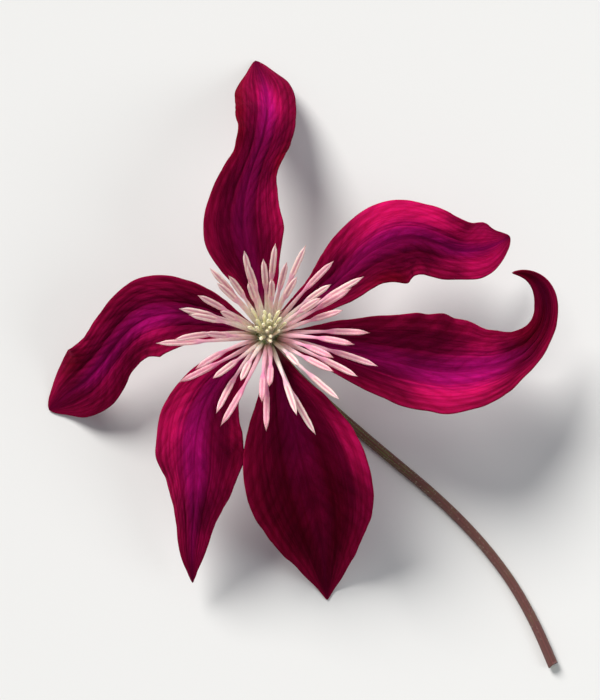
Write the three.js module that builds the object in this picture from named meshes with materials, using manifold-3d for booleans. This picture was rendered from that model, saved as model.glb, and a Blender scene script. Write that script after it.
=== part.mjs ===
// One clematis flower as it is picked: six spreading, petal-like tepals, a brush of stamens, a tuft of
// styles and a bare stalk. It lies face up on a flat surface, on drooping tepal tips and on the stalk's lower
// side. Lengths are millimetres and angles are degrees, with +Z up. The origin lies on the surface, under the
// middle of the flower's box.
import * as THREE from "three";
import { mergeVertices } from "three/addons/utils/BufferGeometryUtils.js";
import Module from "manifold-3d";

const wasm = await Module();
wasm.setup();

// Driving sizes
const SEAT_HEIGHT = 15; // from the surface up to where the tepals leave the receptacle
const GAP = 0.3; // between pieces that touch
const RECEPTACLE_RADIUS = 2.9;
const RECEPTACLE_TOP = 0.6; // above the tepals' seat
const TEPAL_THICKNESS = 0.6;
const TEPAL_ROWS = 26;
const TEPAL_COLUMNS = 10;
const PRESS_BLEND = 1.5; // height over which a drooping tip eases on to the surface

const FLOOR = -SEAT_HEIGHT; // the surface, in the flower's own frame
const DEGREE = Math.PI / 180;
const GOLDEN_ANGLE = 137.508;
const SCATTER_SEED = 186.9;

// Each tepal, from base to tip. The half widths give a narrow claw, a broad middle and a drawn-out tip.
// Pitch is the midrib's rise, turn its swing to the left and roll the twist of the blade about it. Cup and
// fold say how far the edges stand up, as shares of the half width: cup in a round hollow, fold from a crease
// at the midrib.
const TEPALS = [
  {
    azimuth: 111,
    length: 57,
    halfWidths: [1.25, 4.2, 6.9, 5.8, 4.3, 5.2, 5.5, 4.7, 1],
    pitch: [16, 4, -16, -39, -47],
    turn: [-16, -2, -26, -39, -26, -9, -4],
    roll: [0, 4, 12, 16, 4],
    cup: [0.3, 0.2, 0, -0.2, -0.35],
    fold: [0.15, 0.15, 0.05, 0, 0],
    wave: 0.6,
    phase: 0.1,
  },
  {
    azimuth: 46,
    length: 48,
    halfWidths: [1.25, 2.9, 4.8, 6.2, 7.6, 6.2, 5.2, 4.5, 0.9],
    pitch: [18, 8, -8, -28, -24],
    turn: [-15, -12, -2, -26, -60, -34, -8],
    roll: [0, -8, -14, 4, 22, 8],
    cup: [0.3, 0.15, -0.1, 0.1, 0.15],
    fold: [0.15, 0.1, 0, 0.2, 0.1],
    wave: 0.8,
    phase: 0.45,
  },
  {
    azimuth: -13,
    length: 64,
    halfWidths: [1.25, 4.1, 6.8, 8.8, 8.8, 5.8, 2.6, 1.8, 0.3],
    pitch: [14, 2, -12, -16, 0, 26, 40],
    turn: [0, 0, 2, 18, 46, 110, 205],
    roll: [0, -4, -16, -24, -10],
    cup: [0.3, 0.25, 0.15, 0.2, 0.4],
    fold: [0.15, 0.2, 0.25, 0.2, 0.1],
    wave: 0.4,
    phase: 0.7,
  },
  {
    azimuth: -77,
    length: 50,
    halfWidths: [1.25, 3.6, 7.4, 10.1, 10.8, 9.4, 6.6, 3.4, 0.4],
    pitch: [16, 0, -24, -48, -46],
    turn: [3, 3, 2, 2, -2, -6, -8],
    roll: [0, 2, 5, 4, 0],
    cup: [0.3, 0.25, 0.15, 0.05, -0.1],
    fold: [0.15, 0.15, 0.1, 0.05, 0],
    wave: 0.8,
    phase: 0.2,
  },
  {
    azimuth: -133,
    length: 47,
    halfWidths: [1.25, 3.4, 5.6, 7.5, 7.9, 6, 3.6, 2.2, 0.3],
    pitch: [18, 6, -14, -34, -38],
    turn: [-3, 2, 26, 42, 39, 40, 46],
    roll: [0, 8, 20, 12, 4],
    cup: [0.3, 0.1, -0.15, -0.2, 0],
    fold: [0.1, -0.05, -0.2, -0.2, -0.1],
    wave: 0.7,
    phase: 0.9,
  },
  {
    azimuth: 173,
    length: 47,
    halfWidths: [1.25, 3.6, 5.7, 7, 5.6, 5.2, 6.1, 4.8, 1.2],
    pitch: [14, 0, -26, -44, -44],
    turn: [-12, -4, 14, 50, 52, 34, 44],
    roll: [0, -4, -10, -8, 0],
    cup: [0.3, 0.2, 0, -0.2, -0.2],
    fold: [0.15, 0.1, 0.05, 0, 0],
    wave: 0.7,
    phase: 0.35,
  },
];

const STAMENS = {
  count: 44,
  collar: { inner: 1.55, outer: 2.6, bottom: RECEPTACLE_TOP + GAP, top: 2.4 },
  rootRadius: [2.3, 1.9], // in the outer ring, and next to the styles
  rootHeight: 1.8,
  firstAzimuth: 285,
  lean: [76, 34], // from the axis at the tip
  swing: 14, // to the side at the tip, at most
  length: [19.2, 15],
  shortSide: { azimuth: 104, lean: 20, length: 4.6 }, // there they lean and reach less, by this much at most
  stations: [0, 0.25, 0.5, 0.64, 0.7, 0.88, 1], // filament, neck, then anther
  width: [0.7, 0.85, 0.85, 0.7, 1.15, 1.2, 0.6],
  thickness: [0.7, 0.6, 0.6, 0.6, 0.8, 0.8, 0.6],
};

const STYLES = {
  count: 20,
  domeRadius: 1.25,
  domeBottom: RECEPTACLE_TOP + GAP,
  domeTop: 3.2,
  lean: [20, 4],
  swing: 20,
  length: [7.6, 8.6],
  width: [0.75, 0.65, 0.6, 0.7],
  stations: [0, 0.35, 0.8, 1],
};

const STALK = {
  azimuth: -45,
  sides: 10,
  steps: 34,
  radius: [1.15, 1.0, 0.92, 0.88, 0.86, 0.86, 0.86, 0.86, 0.88, 0.92],
  // Its line from the receptacle to the cut: down, round a bend and on along the surface
  forward: [0, 1.6, 7.6, 15, 22.5, 30, 37.5, 45, 52.5, 60, 67.5, 75],
  left: [0, 0, 0, 0.3, 0.8, 1.4, 2, 2.2, 1.8, 0.6, -1.6, -4.6],
  up: [-3.5, -10.3, -14, -14.4, -14.6, -14.6, -14.6, -14.6, -14.6, -14.6, -14.6, -14.6],
};

// A smooth line through evenly spaced keys, read at t from 0 to 1
function along(keys, t) {
  const last = keys.length - 1;
  const i = Math.min(Math.floor(t * last), last - 1);
  const f = t * last - i;
  const before = keys[Math.max(i - 1, 0)];
  const from = keys[i];
  const to = keys[i + 1];
  const after = keys[Math.min(i + 2, last)];
  const slope = (to - before) * f;
  const bend = (2 * before - 5 * from + 4 * to - after) * f * f;
  const twist = (3 * from - before - 3 * to + after) * f * f * f;
  return from + 0.5 * (slope + bend + twist);
}

// A repeatable scatter from -1 to 1, for repeat i and trait k
function scatter(i, k) {
  const x = Math.sin(i * 12.9898 + k * 78.233 + SCATTER_SEED) * 43758.5453;
  return 2 * (x - Math.floor(x)) - 1;
}

// The greater of a height and the floor's, eased where they meet
function press(z, floor) {
  const near = Math.max(PRESS_BLEND - Math.abs(z - floor), 0) / PRESS_BLEND;
  return Math.max(z, floor) + (near * near * PRESS_BLEND) / 4;
}

function geometryOf(points, triangles) {
  const geometry = new THREE.BufferGeometry().setFromPoints(points);
  geometry.setIndex(triangles.flat());
  return geometry;
}

function solidOf(geometry) {
  const bare = geometry.clone();
  bare.deleteAttribute("normal");
  bare.deleteAttribute("uv");
  const merged = mergeVertices(bare, 1e-4);
  return new wasm.Manifold(
    new wasm.Mesh({
      numProp: 3,
      vertProperties: merged.attributes.position.array,
      triVerts: new Uint32Array(merged.index.array),
    }),
  );
}

function joined(geometries) {
  const solid = geometries.map(solidOf).reduce((all, next) => all.add(next));
  const { vertProperties, triVerts } = solid.getMesh();
  const geometry = new THREE.BufferGeometry();
  geometry.setAttribute("position", new THREE.BufferAttribute(vertProperties, 3));
  geometry.setIndex(new THREE.BufferAttribute(triVerts, 1));
  return geometry;
}

// A closed skin over rings of points, with flat ends
function loft(rings) {
  const sides = rings[0].length;
  const triangles = [];
  for (let r = 0; r + 1 < rings.length; r++)
    for (let k = 0; k < sides; k++) {
      const a = r * sides + k;
      const b = r * sides + ((k + 1) % sides);
      triangles.push([a, b, b + sides], [a, b + sides, a + sides]);
    }
  const end = (rings.length - 1) * sides;
  for (let k = 1; k + 1 < sides; k++)
    triangles.push([0, k + 1, k], [end, end + k, end + k + 1]);
  return geometryOf(rings.flat(), triangles);
}

// The tepal's middle surface as rows of points from base to tip, in a frame where its base points along +X
function tepalSurface(tepal) {
  const step = tepal.length / TEPAL_ROWS;
  const at = new THREE.Vector3(RECEPTACLE_RADIUS + GAP, 0, 0);
  const frameAt = (s) => {
    const rise = along(tepal.pitch, s) * DEGREE;
    const turn = along(tepal.turn, s) * DEGREE;
    const roll = along(tepal.roll, s) * DEGREE;
    const level = Math.cos(rise);
    const ahead = new THREE.Vector3(level * Math.cos(turn), level * Math.sin(turn), Math.sin(rise));
    const side = new THREE.Vector3(-Math.sin(turn), Math.cos(turn), 0).applyAxisAngle(ahead, roll);
    return { ahead, side, up: new THREE.Vector3().crossVectors(ahead, side) };
  };
  const rows = [];
  for (let i = 0; i <= TEPAL_ROWS; i++) {
    const s = i / TEPAL_ROWS;
    if (i > 0) at.addScaledVector(frameAt((i - 0.5) / TEPAL_ROWS).ahead, step);
    const { side, up } = frameAt(s);
    const half = along(tepal.halfWidths, s);
    const cup = along(tepal.cup, s);
    const fold = along(tepal.fold, s);
    const row = [];
    for (let j = 0; j <= TEPAL_COLUMNS; j++) {
      const v = (2 * j) / TEPAL_COLUMNS - 1;
      const ripple = Math.sin(2 * Math.PI * (2.2 * s + tepal.phase + (v > 0 ? 0 : 0.3)));
      const crease = Math.sqrt(v * v + 0.01) - 0.1;
      const bend = half * (cup * v * v + fold * crease);
      const lift = bend + tepal.wave * Math.sin(Math.PI * s) * v * v * ripple;
      const point = at.clone().addScaledVector(side, half * v).addScaledVector(up, lift);
      point.z = press(point.z, FLOOR + TEPAL_THICKNESS / 2);
      row.push(point);
    }
    rows.push(row);
  }
  return rows;
}

// A blade of even thickness about a grid of points, split into triangles alike on both faces
function blade(rows, thickness) {
  const last = rows.length - 1;
  const width = rows[0].length;
  const points = [];
  for (const level of [1, -1])
    rows.forEach((row, i) =>
      row.forEach((point, j) => {
        const ahead = rows[Math.min(i + 1, last)][j].clone().sub(rows[Math.max(i - 1, 0)][j]);
        const aside = row[Math.min(j + 1, width - 1)].clone().sub(row[Math.max(j - 1, 0)]);
        const normal = ahead.cross(aside).normalize();
        points.push(point.clone().addScaledVector(normal, (level * thickness) / 2));
      }),
    );
  const top = (i, j) => i * width + j;
  const under = (i, j) => rows.length * width + i * width + j;
  const triangles = [];
  for (let i = 0; i < last; i++)
    for (let j = 0; j + 1 < width; j++)
      triangles.push(
        [top(i, j), top(i + 1, j), top(i + 1, j + 1)],
        [top(i, j), top(i + 1, j + 1), top(i, j + 1)],
        [under(i, j), under(i + 1, j + 1), under(i + 1, j)],
        [under(i, j), under(i, j + 1), under(i + 1, j + 1)],
      );
  const border = [];
  for (let i = 0; i < last; i++) border.push([i, 0]);
  for (let j = 0; j + 1 < width; j++) border.push([last, j]);
  for (let i = last; i > 0; i--) border.push([i, width - 1]);
  for (let j = width - 1; j > 0; j--) border.push([0, j]);
  border.forEach((from, k) => {
    const to = border[(k + 1) % border.length];
    triangles.push([top(...from), under(...from), under(...to)], [top(...from), under(...to), top(...to)]);
  });
  return geometryOf(points, triangles);
}

// A slim flattened rod that leaves the flower's axis and arches outwards, with a swing to one side
function rod({ rootRadius, rootHeight, lean, swing, length, azimuth, stations, width, thickness }) {
  const at = new THREE.Vector3(rootRadius, 0, rootHeight);
  const frameAt = (s) => {
    const tilt = lean * (0.62 + 0.38 * s) * DEGREE;
    const turn = swing * s * DEGREE;
    const level = Math.sin(tilt);
    const ahead = new THREE.Vector3(level * Math.cos(turn), level * Math.sin(turn), Math.cos(tilt));
    const side = new THREE.Vector3(-Math.sin(turn), Math.cos(turn), 0);
    return { ahead, side, under: new THREE.Vector3().crossVectors(side, ahead) };
  };
  const rings = stations.map((s, i) => {
    const before = stations[Math.max(i - 1, 0)];
    at.addScaledVector(frameAt((before + s) / 2).ahead, length * (s - before));
    const { side, under } = frameAt(s);
    return [
      [-1, 1],
      [1, 1],
      [1, -1],
      [-1, -1],
    ].map(([a, b]) =>
      at
        .clone()
        .addScaledVector(side, (a * width[i]) / 2)
        .addScaledVector(under, (b * thickness[i]) / 2),
    );
  });
  return loft(rings).rotateZ(azimuth * DEGREE);
}

function stamens() {
  const { count, collar, shortSide } = STAMENS;
  const ring = new THREE.LatheGeometry(
    [
      [collar.inner, collar.bottom],
      [collar.outer, collar.bottom],
      [collar.outer, collar.top],
      [collar.inner, collar.top],
      [collar.inner, collar.bottom],
    ].map(([r, z]) => new THREE.Vector2(r, z)),
    20,
  ).rotateX(Math.PI / 2);
  const rods = [];
  for (let i = 0; i < count; i++) {
    const inward = (i / (count - 1)) ** 1.4;
    const azimuth = STAMENS.firstAzimuth + i * GOLDEN_ANGLE + 5 * scatter(i, 3);
    const short = (0.5 + 0.5 * Math.cos((azimuth - shortSide.azimuth) * DEGREE)) ** 2;
    const lean = THREE.MathUtils.lerp(...STAMENS.lean, inward) - shortSide.lean * short * (1 - inward);
    const length = THREE.MathUtils.lerp(...STAMENS.length, inward) - shortSide.length * short;
    rods.push(
      rod({
        ...STAMENS,
        azimuth,
        rootRadius: THREE.MathUtils.lerp(...STAMENS.rootRadius, inward),
        lean: lean + 4 * scatter(i, 1),
        length: length + 0.9 * scatter(i, 2),
        swing: STAMENS.swing * scatter(i, 5),
      }),
    );
  }
  return joined([ring, ...rods]);
}

function styles() {
  const { count, domeRadius, domeBottom, domeTop } = STYLES;
  const dome = new THREE.LatheGeometry(
    [
      [0, domeBottom],
      [domeRadius, domeBottom],
      [domeRadius, domeBottom + 1],
      [domeRadius * 0.6, domeTop - 0.3],
      [0, domeTop],
    ].map(([r, z]) => new THREE.Vector2(r, z)),
    10,
  ).rotateX(Math.PI / 2);
  const rods = [];
  for (let i = 0; i < count; i++) {
    const inward = i / (count - 1);
    rods.push(
      rod({
        ...STYLES,
        thickness: STYLES.width,
        rootRadius: 0.85 * (1 - inward),
        rootHeight: domeBottom + 0.9 + 0.6 * inward,
        lean: THREE.MathUtils.lerp(...STYLES.lean, inward),
        length: THREE.MathUtils.lerp(...STYLES.length, inward) + 0.5 * scatter(i, 4),
        azimuth: i * GOLDEN_ANGLE,
        swing: STYLES.swing * scatter(i, 6),
      }),
    );
  }
  return joined([dome, ...rods]);
}

// The stalk, swept along its line with a flat under side, and the receptacle it swells into
function stalk() {
  const { sides, steps, radius, forward, left, up } = STALK;
  const centres = [];
  for (let i = 0; i <= steps; i++) {
    const t = i / steps;
    const lowest = FLOOR + along(radius, t) * Math.cos(Math.PI / sides);
    centres.push(new THREE.Vector3(along(forward, t), along(left, t), Math.max(along(up, t), lowest)));
  }
  const rings = centres.map((centre, i) => {
    const r = along(radius, i / steps);
    const ahead = centres[Math.min(i + 1, steps)].clone().sub(centres[Math.max(i - 1, 0)]).normalize();
    const side = new THREE.Vector3(0, 1, 0).addScaledVector(ahead, -ahead.y).normalize();
    const rise = new THREE.Vector3().crossVectors(ahead, side);
    const ring = [];
    for (let k = 0; k < sides; k++) {
      const turn = ((k + 0.5) / sides) * 2 * Math.PI;
      const rim = centre.clone().addScaledVector(rise, r * Math.cos(turn));
      rim.addScaledVector(side, -r * Math.sin(turn));
      rim.z = Math.max(rim.z, FLOOR);
      ring.push(rim);
    }
    return ring;
  });
  const swelling = new THREE.LatheGeometry(
    [
      [0, -5.6],
      [0.9, -5.6],
      [1.2, -4.2],
      [1.9, -2.6],
      [2.65, -1.3],
      [RECEPTACLE_RADIUS, -0.4],
      [2.7, 0.35],
      [2.3, RECEPTACLE_TOP],
      [0, RECEPTACLE_TOP],
    ].map(([r, z]) => new THREE.Vector2(r, z)),
    20,
  ).rotateX(Math.PI / 2);
  return joined([loft(rings), swelling]);
}

const tepalMaterial = new THREE.MeshStandardMaterial({ color: 0x7d0a3a, roughness: 0.6, metalness: 0 });
const stamenMaterial = new THREE.MeshStandardMaterial({ color: 0xdcb9ae, roughness: 0.6, metalness: 0 });
const styleMaterial = new THREE.MeshStandardMaterial({ color: 0xcfc98f, roughness: 0.6, metalness: 0 });
const stalkMaterial = new THREE.MeshStandardMaterial({ color: 0x6b7a45, roughness: 0.6, metalness: 0 });

const flower = new THREE.Group();

TEPALS.forEach((tepal, i) => {
  const mesh = new THREE.Mesh(blade(tepalSurface(tepal), TEPAL_THICKNESS), tepalMaterial);
  mesh.name = `tepal_${i + 1}`;
  mesh.rotation.z = tepal.azimuth * DEGREE;
  flower.add(mesh);
});

const stamenMesh = new THREE.Mesh(stamens(), stamenMaterial);
stamenMesh.name = "stamens";
flower.add(stamenMesh);

const styleMesh = new THREE.Mesh(styles(), styleMaterial);
styleMesh.name = "styles";
flower.add(styleMesh);

const stalkMesh = new THREE.Mesh(stalk(), stalkMaterial);
stalkMesh.name = "stalk";
stalkMesh.rotation.z = STALK.azimuth * DEGREE;
flower.add(stalkMesh);

// The origin goes under the middle of the box
const middle = new THREE.Box3().setFromObject(flower, true).getCenter(new THREE.Vector3());
flower.position.set(-middle.x, -middle.y, SEAT_HEIGHT);

const part = new THREE.Group();
part.add(flower);
export default part;
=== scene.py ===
import math

import bmesh
import bpy
from bpy.props import FloatProperty, FloatVectorProperty, IntProperty, PointerProperty
from bpy.types import Operator, Panel, PropertyGroup
from mathutils import Matrix, Vector, noise


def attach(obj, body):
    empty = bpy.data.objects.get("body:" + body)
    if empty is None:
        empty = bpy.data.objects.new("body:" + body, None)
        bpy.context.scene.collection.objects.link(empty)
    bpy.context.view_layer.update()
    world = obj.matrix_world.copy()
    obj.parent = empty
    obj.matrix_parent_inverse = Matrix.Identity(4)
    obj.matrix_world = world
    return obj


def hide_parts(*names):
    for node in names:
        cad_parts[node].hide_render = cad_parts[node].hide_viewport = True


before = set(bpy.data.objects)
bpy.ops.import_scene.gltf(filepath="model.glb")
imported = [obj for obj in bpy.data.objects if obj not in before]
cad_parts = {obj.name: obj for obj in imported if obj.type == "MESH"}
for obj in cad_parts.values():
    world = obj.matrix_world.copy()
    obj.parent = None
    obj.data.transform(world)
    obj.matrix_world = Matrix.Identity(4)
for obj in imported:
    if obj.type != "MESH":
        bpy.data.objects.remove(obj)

bl_info = {
    "name": "Clematis flower",
    "version": (1, 0, 0),
    "blender": (4, 5, 0),
    "location": "View3D > Sidebar > Clematis",
    "description": "One picked clematis flower with its stalk, lying face up on a pale floor",
    "category": "Add Mesh",
}

# Where the lamps and the camera aim, in metres
FLOWER_MIDDLE = Vector((0, 0, 0.01))
# The flower's own frame is in millimetres. Its origin is on the flower's axis, where the tepals spring.
FLOOR = -15.0
RECEPTACLE_TOP = 0.6
TEPAL_START = 3.2
# Shares of a tepal's length: how far the claw runs back, and the stretch over which the tip closes
CLAW_BACK = 0.018
TIP_CLOSING = 0.035
# The two outer ribs' place between the middle rib and the margin, and how wide a rib is, as shares
RIB_SPREAD = 0.34
RIB_WIDTH = 0.07
BLADE_ROWS = 200
BLADE_COLUMNS = 70
ANTHER_START = 0.63
STALK_RIBS = 8
PRESS_BLEND = 1.5
SEAM = 1e-4
GOLDEN_ANGLE = 137.508
SCATTER_SEED = 186.9
TEPAL_SEED = 1.7

# Angles are in degrees. Each list runs evenly from the claw to the tip. Pitch is the midrib's rise, turn its
# swing to the left and roll the blade's twist. Cup, fold and wave say how far the blade's edges stand up.
# A bright patch is painted light that also stands for the blade's own flush of colour, and where its
# strength is below 0 it is painted shade. It has its place along and across the blade, its spread along and
# across, and its strength.
TEPALS = [
    {
        "azimuth": 111,
        "length": 57,
        "half_widths": [1.25, 4.2, 6.9, 5.8, 4.3, 5.2, 5.5, 4.7, 1],
        "pitch": [16, 4, -16, -39, -47],
        "turn": [-16, -2, -26, -39, -26, -9, -4],
        "roll": [0, 4, 12, 16, 4],
        "cup": [0.3, 0.2, 0, -0.2, -0.35],
        "fold": [0.15, 0.15, 0.05, 0, 0],
        "wave": 0.6,
        "phase": 0.1,
        "bright": [
            [0.74, -0.1, 0.12, 0.55, 1.05],
            [0.55, -1.0, 0.1, 0.3, -0.5],
            [0.72, 1.0, 0.3, 0.35, -0.6],
        ],
    },
    {
        "azimuth": 46,
        "length": 48,
        "half_widths": [1.25, 2.9, 4.8, 6.2, 7.6, 6.2, 5.2, 4.5, 0.9],
        "pitch": [18, 8, -8, -28, -24],
        "turn": [-15, -12, -2, -26, -60, -34, -8],
        "roll": [0, -8, -14, 4, 22, 8],
        "cup": [0.3, 0.15, -0.1, 0.1, 0.15],
        "fold": [0.15, 0.1, 0, 0.2, 0.1],
        "wave": 0.8,
        "phase": 0.45,
        "bright": [
            [0.56, 0.65, 0.13, 0.5, 1.4],
            [0.86, 0.1, 0.11, 1.0, 1.4],
            [0.7, 0.0, 0.06, 1.0, 0.25],
            [0.42, -1.0, 0.12, 0.4, -0.5],
        ],
    },
    {
        "azimuth": -13,
        "length": 64,
        "half_widths": [1.25, 4.1, 6.8, 8.8, 8.8, 5.8, 2.6, 1.8, 0.3],
        "pitch": [14, 2, -12, -16, 0, 26, 40],
        "turn": [0, 0, 2, 18, 46, 110, 205],
        "roll": [0, -4, -16, -24, -10],
        "cup": [0.3, 0.25, 0.15, 0.2, 0.4],
        "fold": [0.15, 0.2, 0.25, 0.2, 0.1],
        "wave": 0.4,
        "phase": 0.7,
        "bright": [
            [0.46, -0.35, 0.16, 0.5, 1.0],
            [0.58, 0.3, 0.08, 0.45, 0.6],
            [0.74, 0.2, 0.1, 0.9, -0.5],
            [0.97, 0.0, 0.06, 1.5, -0.5],
        ],
    },
    {
        "azimuth": -77,
        "length": 50,
        "half_widths": [1.25, 3.6, 7.4, 10.1, 10.8, 9.4, 6.6, 3.4, 0.4],
        "pitch": [16, 0, -24, -48, -46],
        "turn": [3, 3, 2, 2, -2, -6, -8],
        "roll": [0, 2, 5, 4, 0],
        "cup": [0.3, 0.25, 0.15, 0.05, -0.1],
        "fold": [0.15, 0.15, 0.1, 0.05, 0],
        "wave": 0.8,
        "phase": 0.2,
        "bright": [
            [0.42, 0.9, 0.22, 0.25, 0.75],
            [0.62, 0.0, 0.4, 1.2, -0.42],
        ],
    },
    {
        "azimuth": -133,
        "length": 47,
        "half_widths": [1.25, 3.4, 5.6, 7.5, 7.9, 6, 3.6, 2.2, 0.3],
        "pitch": [18, 6, -14, -34, -38],
        "turn": [-3, 2, 26, 42, 39, 40, 46],
        "roll": [0, 8, 20, 12, 4],
        "cup": [0.3, 0.1, -0.15, -0.2, 0],
        "fold": [0.1, -0.05, -0.2, -0.2, -0.1],
        "wave": 0.7,
        "phase": 0.9,
        "bright": [
            [0.34, -0.5, 0.18, 0.45, 0.65],
            [0.45, 0.05, 0.2, 0.3, 0.4],
            [0.86, 0.2, 0.12, 0.8, 0.5],
        ],
    },
    {
        "azimuth": 173,
        "length": 47,
        "half_widths": [1.25, 3.6, 5.7, 7, 5.6, 5.2, 6.1, 4.8, 1.2],
        "pitch": [14, 0, -26, -44, -44],
        "turn": [-12, -4, 14, 50, 52, 34, 44],
        "roll": [0, -4, -10, -8, 0],
        "cup": [0.3, 0.2, 0, -0.2, -0.2],
        "fold": [0.15, 0.1, 0.05, 0, 0],
        "wave": 0.7,
        "phase": 0.35,
        "bright": [
            [0.4, 0.1, 0.14, 0.5, 0.7],
            [0.66, 0.3, 0.12, 0.5, 0.45],
            [0.75, -0.6, 0.12, 0.4, -0.4],
        ],
    },
]

# Pairs run from the outermost stamen or style to the innermost. The lists run from the root to the tip.
STAMENS = {
    "first_azimuth": 285,
    "root_radius": (2.3, 1.9),
    "root_height": 0.5,
    "lean": (76, 34),
    "swing": 14,
    "length": (20.5, 16.3),
    # On one side of the flower they stand up and are shorter, by this much at most
    "short_azimuth": 104,
    "short_lean": 20,
    "short_length": 4.6,
    "bow": 1.1,
    "half_widths": [0.34, 0.38, 0.4, 0.38, 0.34, 0.3, 0.27, 0.52, 0.58, 0.57, 0.46, 0.0],
    "half_depths": [0.3, 0.22, 0.19, 0.18, 0.17, 0.16, 0.16, 0.32, 0.37, 0.36, 0.28, 0.0],
}

STYLES = {
    "root_radius": (0.95, 0.0),
    "root_height": 0.4,
    "lean": (20, 4),
    "swing": 20,
    "length": (9.5, 11.1),
    "bow": 0.5,
    "radii": [0.42, 0.4, 0.3, 0.25, 0.23, 0.22, 0.23, 0.26, 0.32, 0.0],
}

STALK = {
    "azimuth": -45,
    "radius": [1.15, 1.0, 0.92, 0.88, 0.86, 0.86, 0.86, 0.86, 0.88, 0.92],
    "forward": [0, 1.6, 7.6, 15, 22.5, 30, 37.5, 45, 52.5, 60, 67.5, 75],
    "left": [0, 0, 0, 0.3, 0.8, 1.4, 2, 2.2, 1.8, 0.6, -1.6, -4.6],
    "up": [-3.5, -10.3, -14, -14.4, -14.6, -14.6, -14.6, -14.6, -14.6, -14.6, -14.6, -14.6],
}

TEPAL_HAIR = {"length": 0.42, "change": 0.15, "thickness": 0.035}
STYLE_HAIR = {"length": 1.1, "change": 0.35, "thickness": 0.07}
STALK_HAIR = {"length": 0.55, "change": 0.2, "thickness": 0.045}

# The receptacle, from its top down to where it runs into the stalk: height, then radius
RECEPTACLE = [
    (0.6, 0.0),
    (0.6, 1.4),
    (0.55, 2.2),
    (0.3, 2.7),
    (-0.4, 2.85),
    (-1.2, 2.6),
    (-2.2, 2.05),
    (-3.0, 1.5),
]


def along(keys, t):
    """A smooth line through evenly spaced keys, read at t from 0 to 1."""
    last = len(keys) - 1
    i = max(min(int(t * last), last - 1), 0)
    f = t * last - i
    before = keys[max(i - 1, 0)]
    start = keys[i]
    end = keys[i + 1]
    after = keys[min(i + 2, last)]
    slope = (end - before) * f
    bend = (2 * before - 5 * start + 4 * end - after) * f * f
    twist = (3 * start - before - 3 * end + after) * f * f * f
    return start + 0.5 * (slope + bend + twist)


def mix(low, high, share):
    return low + (high - low) * share


def scatter(i, k):
    """A repeatable scatter from -1 to 1, for repeat i and trait k."""
    x = math.sin(i * 12.9898 + k * 78.233 + SCATTER_SEED) * 43758.5453
    return 2 * (x - math.floor(x)) - 1


def hump(distance, width):
    """A smooth hump that is 1 in its middle and fades out over its width."""
    return math.exp(-((distance / width) ** 2))


def press(z, floor):
    """The greater of a height and the floor's, eased where they meet."""
    near = max(PRESS_BLEND - abs(z - floor), 0) / PRESS_BLEND
    return max(z, floor) + near * near * PRESS_BLEND / 4


def flower_axis():
    """Where the flower's axis stands in the row's frame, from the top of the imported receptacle."""
    points = [vert.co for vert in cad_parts["stalk"].data.vertices]
    top = max(point.z for point in points)
    rim = [point for point in points if point.z > top - 1e-5]
    x = [point.x for point in rim]
    y = [point.y for point in rim]
    return Vector(((min(x) + max(x)) / 2, (min(y) + max(y)) / 2, top - RECEPTACLE_TOP / 1000))


TO_ROW = Matrix.Translation(flower_axis()) @ Matrix.Scale(0.001, 4)


# Materials


def feed(tree, socket, value):
    """Links a value to a socket, or sets the socket to it."""
    if isinstance(value, bpy.types.NodeSocket):
        tree.links.new(value, socket)
    else:
        socket.default_value = value


def add(tree, kind, settings=None, **values):
    """A node with its settings, and its inputs linked or set by name."""
    node = tree.nodes.new("ShaderNode" + kind)
    for name, value in (settings or {}).items():
        setattr(node, name, value)
    for name, value in values.items():
        name = name.replace("_", " ")
        feed(tree, next(s for s in node.inputs if s.name == name and s.enabled), value)
    return node


def maths(tree, operation, first, second=0.0, clamp=False):
    node = tree.nodes.new("ShaderNodeMath")
    node.operation = operation
    node.use_clamp = clamp
    feed(tree, node.inputs[0], first)
    feed(tree, node.inputs[1], second)
    return node.outputs[0]


def times(tree, first, second):
    return maths(tree, "MULTIPLY", first, second)


def plus(tree, first, second):
    return maths(tree, "ADD", first, second)


def minus(tree, first, second):
    return maths(tree, "SUBTRACT", first, second)


def ease(tree, value, start, end, low=0.0, high=1.0):
    """A smooth step of a value between start and end."""
    node = tree.nodes.new("ShaderNodeMapRange")
    node.interpolation_type = "SMOOTHSTEP"
    for socket, number in zip(node.inputs, (value, start, end, low, high)):
        feed(tree, socket, number)
    return node.outputs[0]


def blend_colours(tree, share, first, second, blend="MIX"):
    """Two colours mixed. A colour mix has its share at socket 0 and its colours at 6 and 7."""
    node = tree.nodes.new("ShaderNodeMix")
    node.data_type = "RGBA"
    node.blend_type = blend
    for number, value in ((0, share), (6, first), (7, second)):
        feed(tree, node.inputs[number], value)
    return node.outputs[2]


def tint(tree, colour, factors):
    """A colour with its red, green and blue each multiplied by a factor."""
    return blend_colours(tree, 1.0, colour, (*factors, 1), "MULTIPLY")


def tint_where(tree, mask, colour, factors):
    return blend_colours(tree, mask, colour, tint(tree, colour, factors))


def ramp(tree, share, stops, interpolation="EASE"):
    node = tree.nodes.new("ShaderNodeValToRGB")
    node.color_ramp.interpolation = interpolation
    elements = node.color_ramp.elements
    while len(elements) < len(stops):
        elements.new(0.5)
    for element, (place, colour) in zip(elements, stops):
        element.position = place
        element.color = (*colour, 1)
    tree.links.new(share, node.inputs[0])
    return node.outputs[0]


def flat_noise(tree, place, **values):
    """Noise over a map's two directions."""
    return add(tree, "TexNoise", {"noise_dimensions": "2D"}, Vector=place, **values).outputs["Fac"]


def start_group(name, place, scales):
    """A node group that takes a place and named numbers, and what comes into it."""
    group = bpy.data.node_groups.new(name, "ShaderNodeTree")
    group.interface.new_socket(place, in_out="INPUT", socket_type="NodeSocketVector")
    for key, default in scales.items():
        scale = group.interface.new_socket(key, in_out="INPUT", socket_type="NodeSocketFloat")
        scale.default_value = default
    return group, group.nodes.new("NodeGroupInput").outputs


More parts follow.
